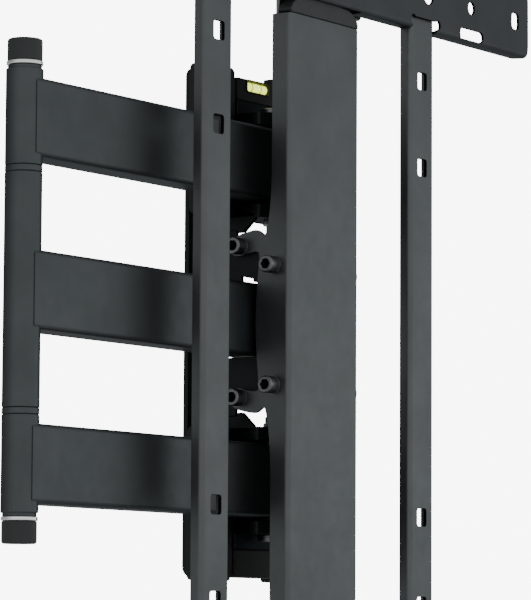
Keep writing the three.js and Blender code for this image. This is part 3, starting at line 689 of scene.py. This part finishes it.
def build_uprights():
    width, radius, sheet = 25, 2.9, 2.5
    edge = leg(width, radius, sheet, 7.4)
    blank = rectangle(-edge, -192, edge, 192, 0.8)
    holes = [slot(0, z, 9.8, 10.2, 1.8) for z in (-150, -100, 100, 150)]
    rail = moved(folded(blank, holes, width, radius, sheet, 0.3), UPRIGHT_X, FRONT, SCREEN_Z)
    rails = show(mirrored(rail, "x"), "left_upright", PAINT), show(rail, "right_upright", PAINT)

    def in_slot(x, y, z):
        return -59.6 < y < -57.9 and abs(abs(x) - UPRIGHT_X) < 8 and abs(z - SCREEN_Z) < 190

    # painted shade: the walls of the slots get the near-black coat
    paint_shade_in_holes(rails, in_slot)


def build_crossbars():
    width, radius, sheet = 41.4, 3, 2
    end = leg(width, radius, sheet, 9)
    flat = width / 2 - radius
    bend = (radius - sheet / 2) * math.pi / 2
    notch = -(width / 2 - 6.8)
    round_radius, drop = 2.8, 1.8  # the round reliefs in the notch's corners, and how far they lie below it
    relief = notch - drop
    tilt = math.degrees(math.asin(drop / round_radius))

    def notch_for_upright(x):
        left, right = x - 13.1, x + 13.1
        return ([(left, -end)] + arc(left, relief, round_radius, -90, -360 + tilt, 14)
                + arc(right, relief, round_radius, 180 - tilt, -90, 14) + [(right, -end)])

    low = [(-209, -end)] + notch_for_upright(-UPRIGHT_X)
    low += outline([(-34, -end), (-34, -flat - bend * 0.6), (34, -flat - bend * 0.6), (34, -end)])
    low += notch_for_upright(UPRIGHT_X) + [(209, -end)]
    right = [(210.5, -end + 0.6), (213.2, -flat - 2.4), (214.6, -flat + 1.2), (215, -flat + 4)]
    right += [(u, -v) for u, v in reversed(right)]
    top = [(209, end), (-209, end)]
    left = [(-u, v) for u, v in reversed(right)]
    blank = low + right + top + left
    holes = []
    for way in (-1, 1):
        holes.append(slot(way * 200, 0, 8.4, 10, 2.8))
        holes.append(circle(way * 150, 0, 3.8, 32))
        holes.append(circle(way * 103, 0.5, 5.5, 36))
        holes.append(slot(way * 150.5, -width / 2 + 4.6, 26, 6.6, 3.2))
    blank, *holes = [[(v, u) for u, v in loop] for loop in (blank, *holes)]
    bm = mapped(folded(blank, holes, width, radius, sheet, 0.3), lambda x, y, z: (z, y, x))
    bar = moved(bm, y=-62.5, z=CROSSBAR_RISE + SCREEN_Z)
    bars = show_both(bar, "top_crossbar", "bottom_crossbar", PAINT_CROSSBAR, SCREEN_Z)

    def in_hole(x, y, z):
        return -62.1 < y < -60.9 and abs(x) < 212 and abs(abs(z - SCREEN_Z) - CROSSBAR_RISE) < 17.6

    # painted shade: the walls of the holes get the near-black coat
    paint_shade_in_holes(bars, in_hole)


def cap_screw(length):
    """A socket-head screw about its own axis: the shank runs up, and the head hangs below z = 0."""
    sides = 96
    angles = [math.radians(360 * k / sides) for k in range(sides)]
    knurl = [4.7 - (0.16 if k % 2 else 0) for k in range(sides)]
    hexagon = [2.5 / math.cos((a % math.radians(60)) - math.radians(30)) * 0.866 for a in angles]
    rows = [(2.9, length), (2.9, 0.4), (3.1, 0), (4.55, 0), (knurl, -0.25), (knurl, -7.0), (4.45, -7.4),
            (4.15, -7.6), (2.95, -7.6), (hexagon, -7.35), (hexagon, -4.2)]
    bm = bmesh.new()
    rings = []
    for shape, height in rows:
        radii = shape if isinstance(shape, list) else [shape] * sides
        rings.append([bm.verts.new((r * math.cos(a), r * math.sin(a), height))
                      for r, a in zip(radii, angles)])
    for below, above in zip(rings, rings[1:]):
        for k in range(sides):
            bm.faces.new((below[k - 1], below[k], above[k], above[k - 1]))
    bm.faces.new(rings[0])
    bm.faces.new(rings[-1])
    return bm


def washer():
    return turned([(3.2, -0.25), (5.1, -0.25, 0.1), (5.1, 0.02, 0.1), (3.2, 0.02)], (0, 0, 0), sides=48)


def build_fasteners():
    seat = -34.3
    for place, way in (("upper", 1), ("lower", -1)):
        rear = (seat, TILT_SCREW_Y, TILT_Z + way * TILT_SCREW_RISE)
        front = (seat, TIE_SCREW_Y, TIE_SCREW_Z + way * TIE_SCREW_RISE)
        for label, spot, length in (("tilt_screw", rear, 11.2), ("tie_screw", front, 12)):
            screw = placed(joined(cap_screw(length), washer()), spot, "x")
            pair = (show(mirrored(screw, "x"), f"{label}_{place}_right", BLACK_STEEL),
                    show(screw, f"{label}_{place}_left", BLACK_STEEL))
            # painted shade: the inside of each hex socket gets the near-black coat
            paint_shade_in_holes(pair, lambda x, y, z: abs(x) > 36.5 and math.hypot(y - spot[1], z - spot[2]) < 2.65)
        hexagon = circle(*rear[1:], 5.6, 6)
        nut = prism("x", hexagon, -28.3, -24.1, [circle(*rear[1:], 3.2, 24)], 0.5)
        show(mirrored(nut, "x"), f"tilt_nut_{place}_right", ZINC)
        show(nut, f"tilt_nut_{place}_left", ZINC)
        rod = [(0, -31.7), (4.6, -31.7, 0.5), (4.6, 31.7, 0.5), (0, 31.7)]
        show(turned(rod, (0, *front[1:]), "x"), f"tie_rod_{place}", ZINC)


# ---------------------------------------------------------------- studio

def build_studio():
    """White surroundings, brighter from the front, a pale floor and a soft panel at the right."""
    scene = bpy.context.scene
    world = bpy.data.worlds.new("studio")
    scene.world = world
    world.use_nodes = True
    nodes, links = world.node_tree.nodes, world.node_tree.links
    direction = nodes.new("ShaderNodeTexCoord")
    split = nodes.new("ShaderNodeSeparateXYZ")
    links.new(direction.outputs["Generated"], split.inputs["Vector"])
    strength = None
    for axis, ends, values in (("Z", (-0.5, 0.02), (0.3, 1.0)), ("Z", (0.08, 0.22), (1.0, 0.68)),
                               ("Y", (0.1, 0.8), (1.0, 0.4))):
        ramp = nodes.new("ShaderNodeMapRange")
        ramp.inputs["From Min"].default_value, ramp.inputs["From Max"].default_value = ends
        ramp.inputs["To Min"].default_value, ramp.inputs["To Max"].default_value = values
        links.new(split.outputs[axis], ramp.inputs["Value"])
        if strength is None:
            strength = ramp.outputs["Result"]
        else:
            product = nodes.new("ShaderNodeMath")
            product.operation = "MULTIPLY"
            links.new(strength, product.inputs[0])
            links.new(ramp.outputs["Result"], product.inputs[1])
            strength = product.outputs["Value"]
    light = nodes["Background"]
    light.inputs["Color"].default_value = (1, 1, 1, 1)
    links.new(strength, light.inputs["Strength"])
    backdrop = nodes.new("ShaderNodeBackground")
    backdrop.inputs["Color"].default_value = (1, 1, 1, 1)
    backdrop.inputs["Strength"].default_value = 8
    path = nodes.new("ShaderNodeLightPath")
    choice = nodes.new("ShaderNodeMixShader")
    links.new(path.outputs["Is Camera Ray"], choice.inputs["Fac"])
    links.new(light.outputs["Background"], choice.inputs[1])
    links.new(backdrop.outputs["Background"], choice.inputs[2])
    links.new(choice.outputs["Shader"], nodes["World Output"].inputs["Surface"])

    floor_mesh = bpy.data.meshes.new("floor")
    reach, level = 6, -0.62
    corners = [(-reach, -reach), (reach, -reach), (reach, reach), (-reach, reach)]
    floor_mesh.from_pydata([(x, y, level) for x, y in corners], [], [(0, 1, 2, 3)])
    floor = bpy.data.objects.new("floor", floor_mesh)
    scene.collection.objects.link(floor)
    pale, shader = new_material("pale_floor", (0.88, 0.88, 0.88), 0.8)
    vary_color(pale, shader, add_noise(pale, 3, 2), (0.87, 0.87, 0.87), (0.89, 0.89, 0.89))
    floor_mesh.materials.append(pale)

    panel = bpy.data.lights.new("soft_panel", "AREA")
    panel.size = 0.35
    panel.energy = 0.19
    lamp = bpy.data.objects.new("soft_panel", panel)
    scene.collection.objects.link(lamp)
    spot, target = Vector((0.84, -0.57, -0.10)), Vector((0.08, -0.06, -0.15))
    turn = (spot - target).to_track_quat("Z", "Y").to_matrix().to_4x4()
    lamp.matrix_world = Matrix.Translation(spot) @ turn
    lamp.visible_camera = False


def build_camera():
    """The camera low at the left, looking up a little."""
    yaw, pitch, roll = (math.radians(a) for a in (55.072, 5.70, 0.33))
    forward = Vector((math.sin(yaw) * math.cos(pitch), math.cos(yaw) * math.cos(pitch), math.sin(pitch)))
    level = Vector((math.cos(yaw), -math.sin(yaw), 0))
    above = level.cross(forward)
    right = level * math.cos(roll) + above * math.sin(roll)
    up = above * math.cos(roll) - level * math.sin(roll)
    data = bpy.data.cameras.new("camera")
    data.lens = 208.51
    data.sensor_width = 36
    data.clip_start, data.clip_end = 0.05, 50
    camera = bpy.data.objects.new("camera", data)
    bpy.context.scene.collection.objects.link(camera)
    turn = Matrix((right, up, -forward)).transposed().to_4x4()
    camera.matrix_world = Matrix.Translation((-1.56888, -1.11629, -0.27717)) @ turn
    bpy.context.scene.camera = camera


build_wall_unit()
build_links()
build_swivel_head()
build_column()
build_uprights()
build_crossbars()
build_fasteners()
build_studio()
build_camera()

bpy.context.view_layer.update()
